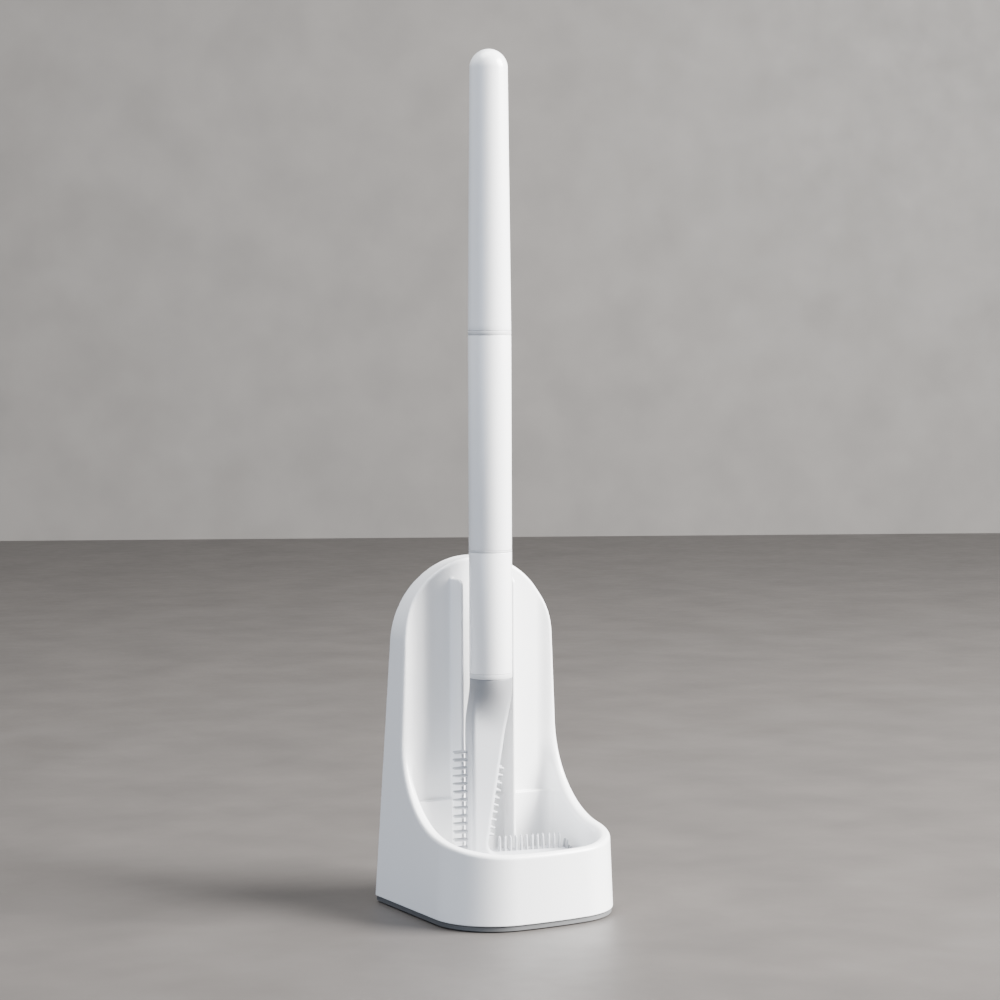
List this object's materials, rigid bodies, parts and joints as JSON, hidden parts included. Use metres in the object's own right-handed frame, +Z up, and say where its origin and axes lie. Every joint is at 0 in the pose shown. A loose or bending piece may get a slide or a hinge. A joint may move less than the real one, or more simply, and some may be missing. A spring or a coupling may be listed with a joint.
{
  "type": "toilet brush holder",
  "caption": "Free-standing caddy with an arched back, guide fins and an open-fronted tub, holding an upright brush with a sectional handle and a soft L-shaped head.",
  "frame": {"origin": "centre of the footprint, on the floor that the foot pads stand on", "axes": "+Z up along the handle, the open front of the tub faces -Y, +X to the right seen from the front"},
  "size_m": [0.0968, 0.0976, 0.4294],
  "materials": {
    "shell_white": "satin white moulded plastic",
    "base_grey": "mid-grey moulded plastic, fine texture",
    "screw_steel": "zinc-plated steel",
    "foot_rubber": "dark soft rubber",
    "handle_white": "satin white moulded plastic",
    "connector_white": "plain white plastic",
    "core_white": "rigid natural plastic core",
    "head_soft_grey": "soft light-grey elastomer with moulded bristles"
  },
  "bodies": {
    "holder": {"holder_shell": "shell_white", "base_plate": "base_grey", "base_screws": "screw_steel", "foot_pad_front_left": "foot_rubber", "foot_pad_front_right": "foot_rubber", "foot_pad_rear_left": "foot_rubber", "foot_pad_rear_right": "foot_rubber"},
    "brush": {"upper_grip": "handle_white", "upper_connector": "connector_white", "middle_tube": "handle_white", "lower_connector": "connector_white", "lower_tube": "handle_white", "head_connector": "connector_white", "head_insert": "core_white", "brush_head": "head_soft_grey"}
  },
  "joints": [
    {"name": "brush_lift", "type": "slide", "parent": "holder", "child": "brush", "axis": [0, 0, 1], "range_m": [0, 0.175]}
  ]
}
